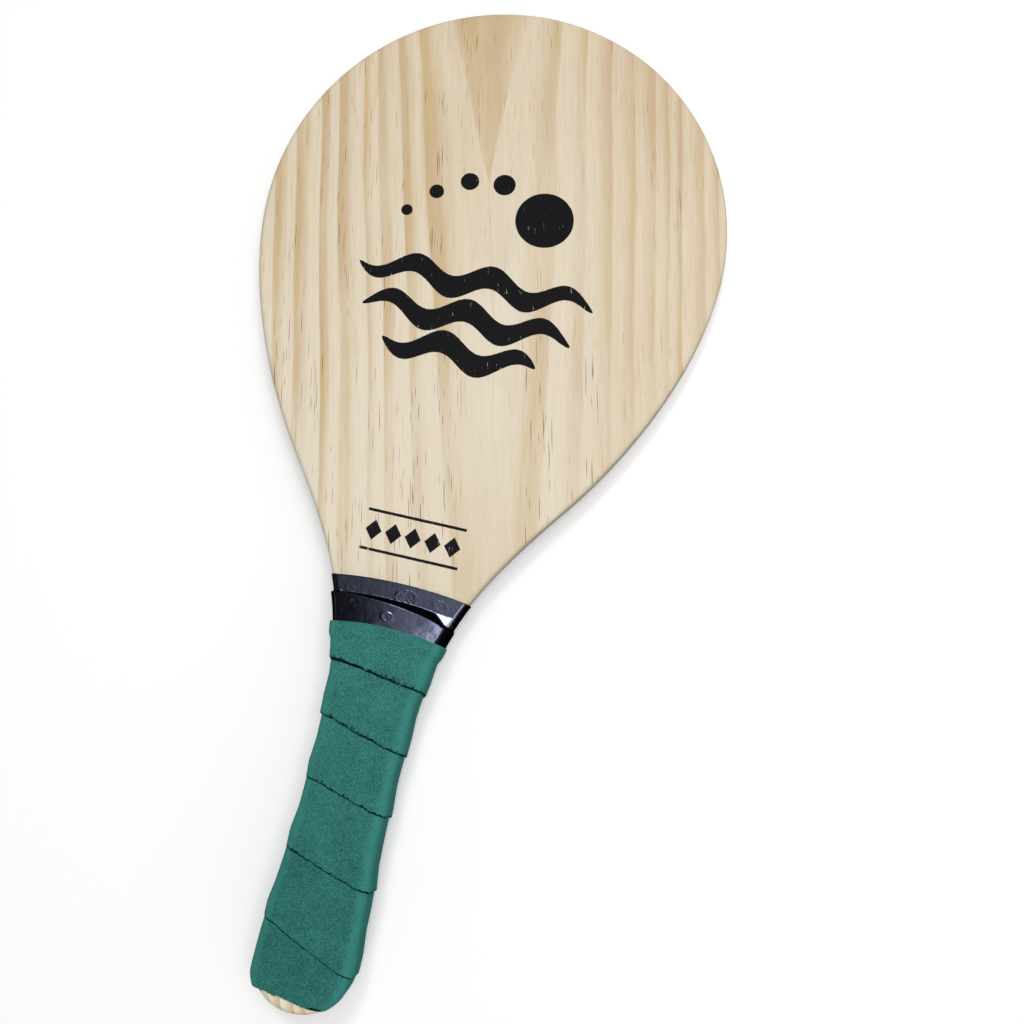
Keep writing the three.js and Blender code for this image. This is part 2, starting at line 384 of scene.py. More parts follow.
def pine(place, log):
    # gives the wood's colour and its height for the bump
    grain = place.put("Mapping", place, (0, 0, 0), (0, 0, -np.radians(log["turn"])), (1 / mm,) * 3)
    across, along, up = split(grain)
    drift = (across / 60).joined(along / 190, up / 40).noise(1)
    ripple = (across / 7).joined(along / 42, up / 12).noise(2)
    side = across - log["pithAcross"] + (drift - 0.5) * log["drift"] + (ripple - 0.5) * log["ripple"]
    ahead = along - log["flamePoint"]
    opened = ahead.math("MINIMUM", 0.0) * log["climb"] + ahead.math("MAXIMUM", 0.0) ** 2 * log["opening"]
    depth = (log["pithDepth"] ** 2 - opened) ** 0.5 + (up - log["face"])
    radius = (side * side + depth * depth) ** 0.5
    right = side.math("GREATER_THAN", 0.0)
    left, far = (ringNumber(radius, log[key]) for key in ("leftRings", "rightRings"))
    ring = left + (far - left) * right
    share = ring.math("FRACT")
    late = share.smooth(0.25, 0.9) * share.smooth(0.9, 1.0, 1.0, 0.0)
    inFlame = side.math("ABSOLUTE") / (opened.math("MAXIMUM", 0.01) ** 0.5)
    late = late.math("MAXIMUM", inFlame.smooth(0.82, 1.14, log["flame"], 0.0))
    number = ring.math("FLOOR") + right * 30
    each = number.put("TexWhiteNoise", None, number, noise_dimensions="1D")
    fade = (across / 12).joined(along / 90, up / 30).noise(1)
    false = (ring * 3.3 + fade * 2).math("FRACT").smooth(0.35, 0.95) * 0.14
    ripe = along.smooth(*log["ripeAlong"], log["ripeLow"], 1.0)
    late = (late + false) * (each * 0.35 + 0.7) * fade.smooth(0.25, 0.7, 0.4, 1.15)
    late = late * log["ringStrength"] * ripe * side.smooth(0, 45, 1.0, log["rightShare"])
    fibre = (across * 1.7).joined(along / 12, up * 1.7).noise(4, 0.65)
    thread = (across * 0.55).joined(along / 32, up / 2).noise(3, 0.6)
    pores = (across * 4).joined(along / 3, up * 4).noise(2, 0.6)
    cloud = (across / 45).joined(along / 160, up / 60).noise(1)
    tint = late + (fibre - 0.5) * log["fibre"] + (thread - 0.5) * log["thread"]
    tint = tint + (pores - 0.5) * log["pores"] + (cloud - 0.5) * log["cloud"]
    tint = tint + along.smooth(20, 200) * log["warmTip"] + side.smooth(20, 70) * log["warmRight"]
    amber = (across / 9 + 7).joined(along / 70, up / 30).noise(1).smooth(0.35, 0.65)
    ripeTone = amber.over(paint(*log["tan"]), paint(*log["amber"]))
    colour = tint.smooth(-0.25, 1.1).over(paint(*log["pale"]), ripeTone)
    # long thin resin streaks, in sheaves, mostly where the rings are dark; few in the pale middle
    sheaf = (across / 6 + 3).joined(along / 70, up / 9).noise(2, 0.6).smooth(0.42, 0.58)
    low = along.smooth(-10, 70, log["lowStreaks"], 0.3)
    lively = side.math("ABSOLUTE").smooth(*log["calmHalf"])
    sheaf = sheaf * (lively + (1 - lively) * along.smooth(60, 130, 0.1, 1.0)) * side.smooth(5, 30, 1.0, 0.65)
    sheaf = sheaf * along.smooth(10, 80, 0.45, 1.0)
    # the streaks lie in the faces: on the board's edge they would run through its thickness
    inFaces = (up - middleHeight).math("ABSOLUTE").smooth(boardHalf - 1.3, boardHalf - 0.3)
    for beside, half in log["sheaves"]:
        strip = (side - beside).math("ABSOLUTE").smooth(half * 0.6, half, 0.8, 0.0)
        sheaf = sheaf.math("MAXIMUM", strip * along.smooth(45, 75, 1.0, 0.0))
    for width, length, chance, shift in log["streaks"]:
        spot = ((across + (ripple - 0.5) * 2) / width + shift).joined(along / length + shift)
        streakCoreAndSeamShade = spot.cells(0).smooth(0.03, 0.1, 1.0, 0.0)
        chosen, soft, hue = split(spot.cells(1))
        mark = streakCoreAndSeamShade * chosen.math("LESS_THAN", chance) * (soft * 0.6 + 0.4) * (late * 0.6 + low)
        resin = hue.over(paint(*log["streak"]), paint(*log["rust"]))
        colour = (mark * sheaf * inFaces * log["streakStrength"]).over(colour, resin)
    return colour, late * 0.6 + fibre * 0.5 + pores * 0.15


printValues = {
    "ink": (14, 14, 17),
    "centre": (-1.0, 88.0),
    "waves": ((-6, 51, 0.4), (-22.5, 45, 1.7), (-38, 33, 3.0)),        # level, half length, start of the sway
    "waveLift": 3.8, "waveLength": 33, "waveHalf": 5.2,
    "dots": ((22, 28, 12.5), (1.5, 40.5, 4.8), (-13.5, 39, 4.0), (-26.5, 31.5, 3.2), (-37, 20.5, 2.5)),
    "band": (0.0, -30.0), "bandHalf": 20.5, "bandLines": 8.0, "lineHalf": 0.6,
    "lozenge": 3.4, "lozengeShape": 0.8, "lozengePitch": 8.2,
    "cutOff": 9,                      # mm added past a wave's or the band's ends, so that the ink stops there
}


def inkCover(place, values, log):
    # how much ink lies on the front face: waves under a bouncing ball, and a small band near the neck
    x, y, z = split(place.put("Mapping", place, (0, 0, 0), (0, 0, 0), (1 / mm,) * 3))
    px, py = x - values["centre"][0], y - values["centre"][1]
    shapes = []
    for cx, cy, r in values["dots"]:
        shapes.append(((px - cx) ** 2 + (py - cy) ** 2) ** 0.5 - r)
    for level, half, start in values["waves"]:
        sway = (px * (2 * np.pi / values["waveLength"]) + start).math("SINE") * values["waveLift"]
        taper = (1 - (px / half) ** 2).math("MAXIMUM", 0.0) ** 0.55
        shapes.append((py - level - sway).math("ABSOLUTE") - taper * values["waveHalf"]
                      + px.math("ABSOLUTE").math("GREATER_THAN", half) * values["cutOff"])
    bx, by = x - values["band"][0], y - values["band"][1]
    past = bx.math("ABSOLUTE").math("GREATER_THAN", values["bandHalf"]) * values["cutOff"]
    shapes.append((by.math("ABSOLUTE") - values["bandLines"]).math("ABSOLUTE") - values["lineHalf"] + past)
    repeat = ((bx / values["lozengePitch"] + 0.5).math("FRACT") - 0.5) * values["lozengePitch"]
    shapes.append(repeat.math("ABSOLUTE") + by.math("ABSOLUTE") * values["lozengeShape"]
                  - values["lozenge"] + past)
    nearest = shapes[0]
    for shape in shapes[1:]:
        nearest = nearest.math("MINIMUM", shape)
    grain = place.put("Mapping", place, (0, 0, 0), (0, 0, -np.radians(log["turn"])), (1 / mm,) * 3)
    across, along, _ = split(grain)
    bleed = (across * 1.4).joined(along / 2).noise(3, 0.7)
    wearAndPaintedLight = (across * 1.1).joined(along / 9).noise(3, 0.75).smooth(0.66, 0.72, 1.0, 0.0)
    onFace = z.math("GREATER_THAN", log["face"] - 0.5)
    return (nearest + (bleed - 0.5) * 0.5).smooth(-0.12, 0.12, 1.0, 0.0) * wearAndPaintedLight * onFace


def woodMaterial(name, log, printed=None):
    material, shader, place = startMaterial(name)
    colour, height = pine(place, log)
    settle(shader, Roughness=0.55, IOR=1.45, Specular_IOR_Level=0.35)
    if printed:
        cover = inkCover(place, printed, log)
        colour = cover.over(colour, paint(*printed["ink"]))
        height = height + cover * 0.3
        connect(shader, Specular_IOR_Level=0.35 - cover * 0.25)
    connect(shader, Base_Color=colour, Normal=bumpFrom(height, 0.05 * mm, 0.5))
    return material


# Board: one closed skin round the outline, its edge rounded on the blade and square at the tongue

boardValues = {
    "edgeRadius": 2.0, "tongueRadius": 0.2, "edgeWander": 0.22, "wanderLength": 23,
    "rowsButt": 26, "rowsSide": 300, "rowsCrown": 150,
    "edgeSteps": 6, "faceShares": (0, 0.1, 0.2, 0.3, 0.4, 0.5, 0.6, 0.7, 0.8, 0.88, 0.94, 0.98, 0.995),
}

stepLine = -58.6                      # where the cheeks end, and the crest and foot of the slope above them
crestLine, footLine = -58.2, -55.8
crestSlant, footSlant = 2.1, 0.5      # mm, how much lower both lie at the right edge than in the middle
rampShares, rampRun = (0.62, 1.02), 3.6       # at the right the steep part ends sooner, then a gentle ramp
cornerShare, cornerDrop = 0.93, 0.4   # at both ends the crest drops by this many mm
cornerFoot = (0.5, 0.2)               # mm that the foot rises there, at the left and the right
leastSlope = 0.8                      # mm from crest to foot
collarLow, collarHigh = -71.8, -48.8
neckBow, bowRun = 2.2, 16.0
cheekCrown = 0.8                      # mm, how much the handle's faces swell in their middle


def bowAt(y):
    return neckBow * np.clip((y - collarLow + bowRun) / bowRun, 0, 1)


def stepEdges(across):
    # crest and foot of the slope at a share of the way across, and the length of the ramp after it
    ramp = rampRun * smooth(*rampShares, across)
    corner = smooth(cornerShare, 1.0, np.abs(across))
    crest = crestLine - crestSlant * across - cornerDrop * corner
    foot = np.maximum(footLine - footSlant * across - ramp, crest + leastSlope)
    return crest, foot + np.where(across < 0, *cornerFoot) * corner, ramp


def stepShare(y, across):
    # 0 on the handle and 1 on the board, t - 0.12 sin(2 pi t) over the slope between them
    crest, foot, _ = stepEdges(across)
    t = np.clip((y - crest) / (foot - crest), 0, 1)
    return t - 0.12 * np.sin(2 * np.pi * t)


def outlineLoop(values):
    # outline points anticlockwise from the butt, and for each the point of the middle line it belongs to
    low = np.radians(np.linspace(-90, 0, values["rowsButt"], endpoint=False))
    high = np.radians(np.linspace(0, 90, values["rowsCrown"]))
    sides = np.linspace(buttCentre, widest, values["rowsSide"], endpoint=False)
    right = np.concatenate([buttArc(low), np.stack([halfWidth(sides), sides], 1), crownArc(high)])
    middle = np.stack([np.zeros(len(right)), np.clip(right[:, 1], buttCentre, widest)], 1)
    left, leftMiddle = right[-2:0:-1] * (-1, 1), middle[-2:0:-1]
    return np.concatenate([right, left]), np.concatenate([middle, leftMiddle])


def inwardNormals(loop):
    ahead, behind = np.roll(loop, -1, 0), np.roll(loop, 1, 0)
    along = ahead - behind
    along /= np.linalg.norm(along, axis=1)[:, None]
    return np.stack([-along[:, 1], along[:, 0]], 1)


def boardSkin(values):
    # rings from the front's middle line out to the edge, round it by a quarter circle each way, and back
    loop, middle = outlineLoop(values)
    inward = inwardNormals(loop)
    onBlade = smooth(stepLine - neckBow, footLine - neckBow, loop[:, 1])
    radius = values["tongueRadius"] + (values["edgeRadius"] - values["tongueRadius"]) * onBlade
    length = np.cumsum(np.linalg.norm(loop - np.roll(loop, 1, 0), axis=1))
    radius = radius + onBlade * values["edgeWander"] * waver(length / values["wanderLength"], 0, 3)
    angles = np.radians(np.linspace(0, 90, values["edgeSteps"]))
    rings = []
    inner = loop + inward * radius[:, None]
    for share in values["faceShares"]:
        rings.append((middle + (inner - middle) * share, np.full(len(loop), boardHalf)))
    for angle in angles:
        inset = radius * (1 - np.sin(angle))
        rings.append((loop + inward * inset[:, None], boardHalf - radius * (1 - np.cos(angle))))
    front = np.stack([np.column_stack([flat, middleHeight + z]) for flat, z in rings])
    back = np.stack([np.column_stack([flat, middleHeight - z]) for flat, z in rings[::-1]])
    skin = np.concatenate([front, back])
    return skin, gridFaces(len(skin), len(loop), closeColumns=True)


boardPoints, boardFaces = boardSkin(boardValues)
makePiece("bladeBoard", boardPoints, boardFaces, woodMaterial("printedPine", boardLog, printValues),
          "blade_board")

# Cheeks: half of the handle's thickness each, rounded outside, flat against the tongue

cheekValues = {
    "edgeRadius": 5.0, "innerFace": 4.56, "innerEase": 0.25,
    "rowsButt": 30, "rowsSide": 280, "edgeSteps": 12, "faceShares": (0, 0.3, 0.6, 0.85, 0.97),
    # the cheek slopes down a little sooner, further in and deeper than the collar over it
    "slopeSooner": 0.5, "slopeInset": 3, "slopeDepth": 1.06,
}


def cheekSkin(values, side):
    # sections from the right end of the step line down, round the butt and up to the left end. Each runs
    # from the inner face's middle to its edge, up the side, over the rounding and back to the middle
    rows = np.linspace(stepLine, buttCentre, values["rowsSide"], endpoint=False)
    turn = np.radians(np.linspace(0, -90, values["rowsButt"]))
    edgeY = rows - bowAt(rows)
    right = np.concatenate([np.stack([halfWidth(edgeY), edgeY], 1), buttArc(turn)])
    middleY = np.concatenate([rows, np.full(len(turn), buttCentre)])
    loop = np.concatenate([right, right[-2::-1] * (-1, 1)])
    middle = np.column_stack([np.zeros(len(loop)), np.concatenate([middleY, middleY[-2::-1]])])
    along = np.gradient(loop, axis=0)
    along /= np.linalg.norm(along, axis=1)[:, None]
    inward = np.stack([along[:, 1], -along[:, 0]], 1)
    straight = loop[:, 1] > buttCentre    # up the sides the edge is rounded section by section
    inward[straight] = np.stack([-np.sign(loop[straight, 0]), np.zeros(straight.sum())], 1)
    radius, ease = values["edgeRadius"], values["innerEase"]
    angles = np.radians(np.linspace(0, 90, values["edgeSteps"]))
    profile = [(ease, values["innerFace"]), (0.0, values["innerFace"] + ease)]
    profile += [(radius * (1 - np.cos(a)), handleHalf - radius * (1 - np.sin(a))) for a in angles]
    columns = []
    for share in values["faceShares"]:
        columns.append((loop + inward * ease, share, values["innerFace"]))
    for inset, z in profile[:-1]:
        columns.append((loop + inward * inset, 1.0, z))
    for share in (1.0,) + values["faceShares"][::-1]:
        columns.append((loop + inward * radius, share, handleHalf))
    bow = (middle[:, 1] - loop[:, 1])[:, None] * (middle[:, 1] > buttCentre)[:, None] * (0, 1)
    skin = []
    for edge, share, z in columns:
        flat = middle + (edge - middle) * share + bow * (share - share * share)
        swell = cheekCrown * (1 - share ** 2) if z == handleHalf else 0
        across = np.clip(flat[:, 0] / np.maximum(halfWidth(flat[:, 1]) - values["slopeInset"], 1), -1, 1)
        level = flat[:, 1] + bowAt(flat[:, 1]) * across ** 2 + values["slopeSooner"]
        eased = values["slopeDepth"] * stepShare(level, across) * (z - values["innerFace"])
        skin.append(np.column_stack([flat, middleHeight + side * (z + swell - eased)]))
    skin = np.stack(skin, 1)
    faces = np.concatenate([gridFaces(len(loop), len(columns)), stripCaps(len(loop), len(columns))])
    return skin, faces


cheekWood = woodMaterial("barePine", cheekLog)
for side, name, node in ((1, "frontCheek", "front_cheek"), (-1, "backCheek", "back_cheek")):
    cheekPoints, cheekFaces = cheekSkin(cheekValues, side)
    makePiece(name, cheekPoints, cheekFaces, cheekWood, node)

# Tapes lie off the wood's surface, so both are carried along the section of the handle

handleRadius, neckRadius, boardRadius = 5.0, 3.0, 2.0      # mm, the section's rounding at these places
neckStart, neckEnd = collarLow - 6, collarLow + 3          # where the handle's radius becomes the neck's


def sectionSpots(cornerSteps, faceSteps, sideSteps):
    # places round the handle's section from the right edge over the front: share across, share up,
    # angle of the outward direction, and share of the way round by length at the waist
    spots = []
    for corner, (across, up) in enumerate(((1, 1), (-1, 1), (-1, -1), (1, -1))):
        for k in range(cornerSteps):
            spots.append((across, up, (corner + k / (cornerSteps - 1)) * np.pi / 2))
        count = faceSteps if corner % 2 == 0 else sideSteps
        for k in range(1, count):
            t = 2 * k / count
            spots.append((across * (1 - t), up, (corner + 1) * np.pi / 2) if corner % 2 == 0
                         else (across, up * (1 - t), (corner + 1) * np.pi / 2))
    spots = np.array(spots)
    x = spots[:, 0] * (outlineValues["waistWidth"] / 2 - handleRadius) + handleRadius * np.cos(spots[:, 2])
    z = spots[:, 1] * (handleHalf - handleRadius) + handleRadius * np.sin(spots[:, 2])
    gaps = np.hypot(np.roll(x, -1) - x, np.roll(z, -1) - z)
    shares = np.concatenate([[0], np.cumsum(gaps)[:-1]]) / gaps.sum()
    return spots, shares, gaps.sum()


def offWood(spots, y, offset):
    # a point off the wood's surface, the section changing from handle to board over the step's slope
    across, up, angle = spots[..., 0], spots[..., 1], spots[..., 2]
    onBoard = stepShare(y, across)
    halfThick = handleHalf + (boardHalf - handleHalf) * onBoard
    swell = cheekCrown * (1 - across ** 2) * (1 - onBoard)
    onHandle = handleRadius - (handleRadius - neckRadius) * smooth(neckStart, neckEnd, y)
    radius = onHandle + (boardRadius - onHandle) * onBoard
    straight = halfWidth(y) - radius
    share = (across * straight + radius * np.cos(angle)) / (straight + radius)
    bowed = y - bowAt(y) * share ** 2
    return np.stack([
        across * (halfWidth(bowed) - radius) + (radius + offset) * np.cos(angle),
        bowed + 0 * angle,
        middleHeight + up * (halfThick - radius + swell) + (radius + offset) * np.sin(angle),
    ], -1)


# Collar: black vinyl tape once round the neck, over the step, its end lapping over its start

collarValues = {
    "thickness": 0.55, "gap": 0.04, "lap": 0.13, "start": 0.62, "lapGap": 0.03,
    "corner": 14, "face": 110, "side": 16, "rows": 90,
    "rampSlope": 0.14, "rampStretch": 1.15,
    "puckers": 0.045, "creases": 0.008, "swells": 0.04,        # mm of relief
    # trapped bubbles: share across, mm along, mm of radius and mm of height
    "blisters": ((0.137, -53.9, 5.0, 0.09), (-0.69, -59.5, 2.5, 0.08), (-0.04, -63.2, 2.7, 0.09),
                 (0.7, -53.2, 3.2, 0.04), (-0.8, -53.9, 1.8, 0.04)),
    "colour": (5, 5, 8), "dusty": (13, 13, 17), "glint": (0.6, 0.68, 1.0, 1.0), "roughness": 0.1,
}


def collarSkin(values):
    # a band of stations from the low edge to the high edge, carried once round and past its start
    spots, shares, _ = sectionSpots(values["corner"], values["face"], values["side"])
    turn = len(spots)
    first = int(np.searchsorted(shares, values["start"]))
    count = turn + int(values["lap"] * turn)
    steps = np.arange(first, first + count)
    spots, round1 = spots[steps % turn], shares[steps % turn] + steps // turn
    lapped = smooth(values["start"] + 1 - 0.012, values["start"] + 1 + 0.004, round1)[:, None]
    t = np.linspace(0, 1, values["rows"])[None, :]
    y = collarLow + (collarHigh - collarLow) * t
    wrap = spots[:, None, :]
    rise = values["gap"] + lapped * (values["thickness"] + values["lapGap"])
    x = wrap[..., 0]
    front = np.isclose(wrap[..., 2], np.pi / 2)
    # puckers on the cheek up to the step, fine creases and broad swells all over, and trapped bubbles
    onCheek = smooth(-73, -66, y) * smooth(-57.5, -61, y)
    lift = values["puckers"] * waver(round1[:, None] * 46, y / 2.4, 5) * onCheek
    lift = lift + values["creases"] * waver(round1[:, None] * 120, y / 1.1, 6)
    lift = lift + values["swells"] * waver(round1[:, None] * 15, y / 9, 8)
    half = halfWidth(y) - 4
    for place, level, size, height in values["blisters"]:
        far = np.hypot((x - place) * half, (y - level) * 1.4) / size
        rim = np.exp(-((far - 0.8) / 0.13) ** 2) * (0.6 + 0.5 * waver(x * half * 0.7, y * 0.7, 12))
        crumple = smooth(1.0, 0.6, far) * waver(x * half * 1.3, y * 2.6, 9)
        lift = lift + front * (rim + 0.5 * crumple) * height
    # at the right the tape stands off the board after the steep part, in a widening ramp
    crest, foot, run = stepEdges(x)
    run = run * values["rampStretch"] * smooth(0.3, 1.0, np.sin(wrap[..., 2])) + 0.01
    ramp = np.clip(1 - (y - foot) / run, 0, 1) * run * values["rampSlope"] * smooth(crest, foot, y)
    outer = offWood(wrap, y, rise + values["thickness"] + lift + ramp)
    inner = offWood(wrap, y[:, ::-1], rise)
    skin = np.concatenate([outer, inner], 1)
    faces = np.concatenate([gridFaces(*skin.shape[:2], closeColumns=True), stripCaps(*skin.shape[:2])])
    # dull places: the stretched slope over the step, the upper edge, and the rounded sides
    slope = smooth(crest - 0.25, crest + 0.05, y) * smooth(foot + 0.15, foot - 0.1, y)
    edge = smooth(collarHigh - 0.45, collarHigh - 0.15, y) + 0 * x
    aside = smooth(0.94, 0.84, np.abs(np.sin(wrap[..., 2]))) + 0 * y
    dull = np.maximum.reduce([slope, edge, aside])
    return skin, faces, {"dull": np.concatenate([dull, dull[:, ::-1]], 1)}


def vinylMaterial(values):
    material, shader, place = startMaterial("blackVinyl")
    fine = inMillimetres(place)
    crumple = fine.noise(3, 0.6, 0.45)
    grain = fine.noise(2, 0.5, 2.5)
    tone = (crumple * 0.6).over(paint(*values["colour"]), paint(*values["dusty"]))
    settle(shader, IOR=1.55, Specular_Tint=values["glint"])
    rough = grain.smooth(0.3, 0.7, values["roughness"], values["roughness"] + 0.1)
    connect(shader, Base_Color=tone, Specular_IOR_Level=1.0 - meshField(place, "dull"), Roughness=rough,
            Normal=bumpFrom(crumple + grain * 0.05, 0.12 * mm, 0.35))
    return material


collarPoints, collarFaces, collarFields = collarSkin(collarValues)
makePiece("collarTape", collarPoints, collarFaces, vinylMaterial(collarValues),
          "collar_tape", collarFields)

# Grip: a tape wound from the butt upwards, each turn lapping over the one below

gripValues = {
    "thickness": 0.75, "gap": 0.05, "contact": 0.03, "width": 31.0,
    "low": -206.5, "high": -67.2, "endWidth": 3.0,
    # seams: level at four shares of the way round, which are the right side's back, right, left, left's back
    "seamShares": (-0.13, 0.02, 0.335, 0.45),
    "seams": ((-248.5, -248, -238, -237), (-220.5, -220, -209, -208), (-196.6, -195.6, -181, -179.6),
              (-165.6, -164.8, -155.2, -154), (-138, -137.2, -129, -128), (-114.2, -113.4, -104.8, -104),
              (-89.8, -89.0, -83.2, -82.4)),
    "lastTurn": ((0.7, -69), (1.02, -60)),
    "turns": (-8, 3),                 # turns laid out below and above, more than are used
    "lapRamp": 9.0, "collarRamp": 2.0,
    "collarHeight": 0.62,             # mm, the collar with its gap and swells, which the grip climbs
    "corner": 12, "face": 64, "side": 20, "rows": 26,
    "cut": 0.55, "cutWander": 0.36, "topCut": 0.2, "leftCut": 0.9, "looseCorner": 1.1,
    "thinned": 0.6, "fray": 0.2, "standOff": 1.6, "lowTilt": 1.4,
    # the last colour on the next line is near-black painted shade for the cut edges and the seams' shadows,
    # not a colour of the tape
    "green": (58, 130, 122), "deep": (26, 84, 78), "fleck": (120, 178, 170), "streakCoreAndSeamShade": (4, 9, 9),
    # the aside colour on the next line is a lighter green painted on the handle's sides, painted light rather
    # than a colour of the felt
    "aside": (70, 154, 145), "sheen": 0.3, "sheenTint": (0.04, 0.24, 0.2, 1.0),
}


def gripSkin(values):
    # the lower edge climbs through levels read at both edges of the front; the strip is trimmed at both ends
    spots, shares, length = sectionSpots(values["corner"], values["face"], values["side"])
    turn = len(spots)
    steps = np.arange(values["turns"][0] * turn, values["turns"][1] * turn)
    round1 = steps // turn + shares[steps % turn]
    first = 1 - len(values["seams"])
    table = [(first + k + share, level) for k, levels in enumerate(values["seams"])
             for share, level in zip(values["seamShares"], levels)] + list(values["lastTurn"])
    lower = np.interp(round1, *np.array(table).T)
    easing = np.hanning(turn // 8)
    padded = np.pad(lower, len(easing), "edge")
    lower = np.convolve(padded, easing / easing.sum(), "same")[len(easing):-len(easing)]
    reached = lower + values["width"] > values["low"] + values["endWidth"]
    used = reached & (lower < values["high"] - values["endWidth"])
    lower = lower + 0.3 * waver(round1 * 2.3, 0, 21) + 0.12 * waver(round1 * 17, 0, 22)
    below = np.roll(lower, turn) + values["width"]
    lapped = used & np.roll(used, turn)
    steps, round1, lower, below, lapped = (a[used] for a in (steps, round1, lower, below, lapped))
    spots = spots[steps % turn]
    fray = values["fray"] * (waver(round1 * 150, 0, 23) + 0.6 * waver(round1 * 420, 3, 24))
    bottom = values["low"] - values["lowTilt"] * spots[:, 0]
    low = np.maximum(lower + fray, bottom + 0.7 * fray)[:, None]
    high = np.minimum(lower + values["width"], values["high"])[:, None]
    ragged = values["cutWander"] * (waver(round1 * 60, 0, 25) + 0.9 * waver(round1 * 260, 0, 26))
    ragged = ragged * smooth(-200, -130, lower) + values["topCut"] * smooth(-120, -88, lower)
    atLeft = smooth(-0.35, -0.95, spots[:, 0]) * smooth(-94, -84, lower)
    cut = np.clip(values["cut"] + ragged + values["leftCut"] * atLeft, 0.08, 1.5)
    # along the trimmed bottom only its right corner has come loose; its cut edge shows there in the
    # near-black painted shade of the seams
    loose = values["looseCorner"] * (spots[:, 0] > 0.9) * (spots[:, 2] > 0.9) * (spots[:, 2] < 1.58)
    cut = np.where(lower > bottom, cut, loose)[:, None]
    t = np.linspace(0, 1, values["rows"])[None, :]
    t = np.where(t < 0.5, 0.5 * (2 * t) ** 1.6, t)
    wrap = spots[:, None, :]
    ends = np.minimum(below, values["high"])[:, None] + 0.3

    def lift(y):
        onCollar = np.clip((y - (collarLow - values["collarRamp"])) / values["collarRamp"], 0, 1)
        under = (values["thickness"] + values["contact"]) * lapped[:, None]
        bridged = values["standOff"] * (wrap[..., 0] < -0.6) * smooth(-197, values["low"], y)
        fall = np.clip((y - ends) / values["lapRamp"], 0, 1)
        return (values["gap"] + onCollar * values["collarHeight"] + under * (1 - fall) + bridged
                + 0.05 * waver(round1[:, None] * 7, y / 9, 27))

    outerY = low + cut + (high - low - cut) * t
    innerY = low + (high - low) * t
    # the outer side rounds off over its last half millimetre at the upper edge
    thick = values["thickness"] * (1 - 0.35 * smooth(0.985, 1.0, t))
    thick = thick + 0.04 * waver(round1[:, None] * 31, outerY / 3, 28)
    # at the handle's left edge the lower laps are pressed thin
    pressed = smooth(-0.4, -0.9, spots[:, 0]) * smooth(-105, -125, lower)
    thick = thick * (1 - values["thinned"] * pressed[:, None] * smooth(0.2, 0.0, t))
    outer = offWood(wrap, outerY, lift(outerY) + thick)
    edge = offWood(wrap, low + cut - 0.05, lift(low + cut - 0.05) + thick[:, :1] - 0.06)
    inner = offWood(wrap, innerY, lift(innerY))
    skin = np.concatenate([outer[:, ::-1], edge, inner], 1)
    rows, columns = skin.shape[:2]
    run = (round1 - round1[0]) * length
    fields = {
        "cutEdge": np.concatenate([np.zeros((rows, values["rows"])), np.ones((rows, values["rows"] + 1))], 1),
        "alongTape": np.repeat(run[:, None], columns, 1),
        "acrossTape": np.concatenate([outerY[:, ::-1], low + cut, innerY], 1) - lower[:, None],
        "aside": np.repeat(np.abs(np.cos(spots[:, 2]))[:, None], columns, 1),
    }
    faces = np.concatenate([gridFaces(rows, columns, closeColumns=True),
                            taperedCaps(rows, columns, values["rows"])])
    return skin, faces, fields, run[-1]


def feltMaterial(values):
    material, shader, place = startMaterial("greenGripFelt")
    fine = inMillimetres(place)
    cloud = fine.noise(2, 0.5, 0.1)
    nap = fine.noise(3, 0.75, 1.7)
    lint = fine.noise(2, 0.6, 2.3)
    blotch = fine.noise(2, 0.6, 0.4)
    along, across, aside, edge = (meshField(place, name)
                                  for name in ("alongTape", "acrossTape", "aside", "cutEdge"))
    # painted light: this rise from the butt to the neck paints the green slightly lighter towards the neck,
    # standing in for light that falls off towards the butt; it also sets how many lint flecks and hairs there
    # are
    wearAndPaintedLight = split(fine)[1].smooth(-200, -70)
    shade = (cloud * 0.14 + blotch * 0.12 + nap * 0.74 + wearAndPaintedLight * 0.05 - 0.02).smooth(0.34, 0.66, 1.0, 0.0)
    colour = shade.over(paint(*values["green"]), paint(*values["deep"]))
    colour = (lint.smooth(0.52, 0.72) * (0.2 + wearAndPaintedLight * 0.2)).over(colour, paint(*values["fleck"]))
    # painted light: the green is painted lighter round the handle's sides, standing in for light from the
    # sides, mottled by the nap
    colour = (aside.smooth(0.15, 0.75) * (nap * 0.8 + 0.15)).over(colour, paint(*values["aside"]))
    # painted shade along the seams: the cut edge and the tape's inner side are painted near-black, and dark
    # hairs of painted shade run over the outer side just above its lower edge, fewest near the butt
    paintedHairShade = (along * 1.6).joined(across / 4).noise(2, 0.6).smooth(0.45, 0.7) * (wearAndPaintedLight * 1.3 + 0.2)
    paintedHairShade = (across - paintedHairShade * 1.5).smooth(0.2, 0.75, 0.75, 0.0)
    colour = edge.smooth(0.5, 0.9).math("MAXIMUM", paintedHairShade).over(colour, paint(*values["streakCoreAndSeamShade"]))
    settle(shader, Roughness=0.92, Sheen_Weight=values["sheen"], Sheen_Roughness=0.5,
           Sheen_Tint=values["sheenTint"])
    connect(shader, Base_Color=colour, Normal=bumpFrom(nap + lint * 0.6, 0.14 * mm, 0.6),
            Specular_IOR_Level=0.1 - edge * 0.1)
    return material


gripPoints, gripFaces, gripFields, gripRun = gripSkin(gripValues)
grip = makePiece("gripTape", gripPoints, gripFaces, feltMaterial(gripValues),
                 "grip_tape", gripFields)
gripRun * mm

# Stage: a pale floor that the racket lies on with its grip and the blade's tip, and soft light

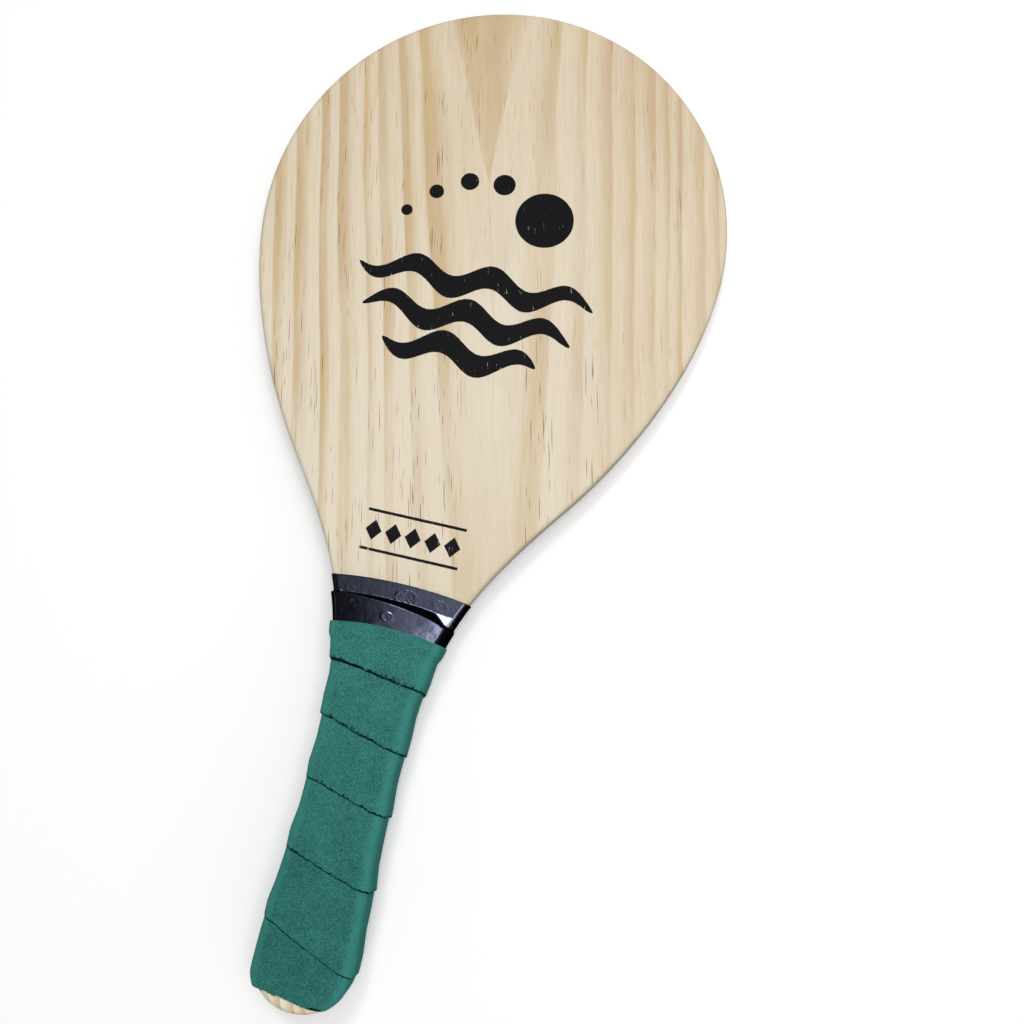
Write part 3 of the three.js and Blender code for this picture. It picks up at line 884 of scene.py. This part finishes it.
stageValues = {
    "size": 12.0, "glow": 0.1,
    "floor": (255, 255, 255), "mottled": (244, 244, 244), "unseen": (112, 111, 109),
    "dim": 0.04, "bright": 1.45, "right": 0.24, "horizon": 0.6,
    "restLength": 20,                 # mm before the tip in which nothing else can touch the floor
    # lamps: name, place and aim in metres, size and power
    "lamps": (("keyLamp", (0.275, 0.05, 1.1), (0.275, 0.05, 0), 0.5, 4.2),
              ("glintLamp", (-0.115, 0.325, 1.1), (0, -0.05, 0), 0.15, 2.0)),
}


def lowestSlope(points, clear):
    # slope of the plane under the racket that touches the blade's tip and the grip
    tipY, tipZ = tip - boardValues["edgeRadius"], middleHeight - boardHalf
    behind = points[points[:, 1] < tipY - clear]
    return np.max((tipZ - behind[:, 2]) / (tipY - behind[:, 1])), tipY, tipZ


def makeFloor(values):
    tapes = np.concatenate([gripPoints.reshape(-1, 3), collarPoints.reshape(-1, 3)])
    slope, tipY, tipZ = lowestSlope(tapes, values["restLength"])
    size = values["size"] / 2 / mm
    corners = [(sx * size, sy * size) for sx, sy in ((-1, -1), (1, -1), (1, 1), (-1, 1))]
    levels = [tipZ + slope * (y - tipY) for _, y in corners]
    mesh = bpy.data.meshes.new("floor")
    mesh.from_pydata([(x * mm, y * mm, z * mm) for (x, y), z in zip(corners, levels)], [], [(0, 1, 2, 3)])
    floor = bpy.data.objects.new("floor", mesh)
    bpy.context.scene.collection.objects.link(floor)
    material, shader, place = startMaterial("paleFloor")
    tree = material.node_tree
    mottle = place.noise(2, 0.5, 30.0)
    white = (mottle * 0.02).over(paint(*values["floor"]), paint(*values["mottled"]))
    # white to the camera; for the light that it throws back on the racket it is grey
    path = tree.nodes.new("ShaderNodeLightPath")
    seen = Wire(tree, path.outputs["Is Camera Ray"])
    settle(shader, Roughness=0.9, Specular_IOR_Level=0.1, Emission_Color=(1, 1, 1, 1))
    connect(shader, Base_Color=seen.over(paint(*values["unseen"]), white),
            Emission_Strength=seen * values["glow"])
    mesh.materials.append(material)
    return slope


def makeWorld(values):
    # dim round the horizon and on the left, with a bright strip overhead
    world = bpy.data.worlds.new("studio")
    world.use_nodes = True
    tree = world.node_tree
    background = tree.nodes["Background"]
    x, _, z = split(Wire(tree, tree.nodes.new("ShaderNodeTexCoord").outputs["Generated"]))
    overhead = x.smooth(-0.32, -0.02, values["dim"], values["bright"])
    overhead = overhead * x.smooth(0.05, 0.3, 1.0, values["right"])
    high = z.smooth(0.3, 0.6)
    strength = overhead * high + (1 - high) * values["horizon"]
    tree.links.new(strength.socket, background.inputs["Strength"])
    background.inputs["Color"].default_value = (1, 1, 1, 1)
    bpy.context.scene.world = world


def makeLamp(name, place, aim, size, power):
    data = bpy.data.lights.new(name, "AREA")
    data.shape, data.size = "SQUARE", size
    data.energy = power
    lamp = bpy.data.objects.new(name, data)
    direction = np.array(aim, float) - np.array(place, float)
    lamp.rotation_mode = "QUATERNION"
    lamp.rotation_quaternion = Vector(direction).to_track_quat("-Z", "Y")
    lamp.location = place
    bpy.context.scene.collection.objects.link(lamp)


slope = makeFloor(stageValues)
makeWorld(stageValues)
for lamp in stageValues["lamps"]:
    makeLamp(*lamp)
bpy.context.scene.view_settings.view_transform = "Standard"
print("stage set, floor slope", round(float(np.degrees(np.arctan(slope))), 2), "degrees")
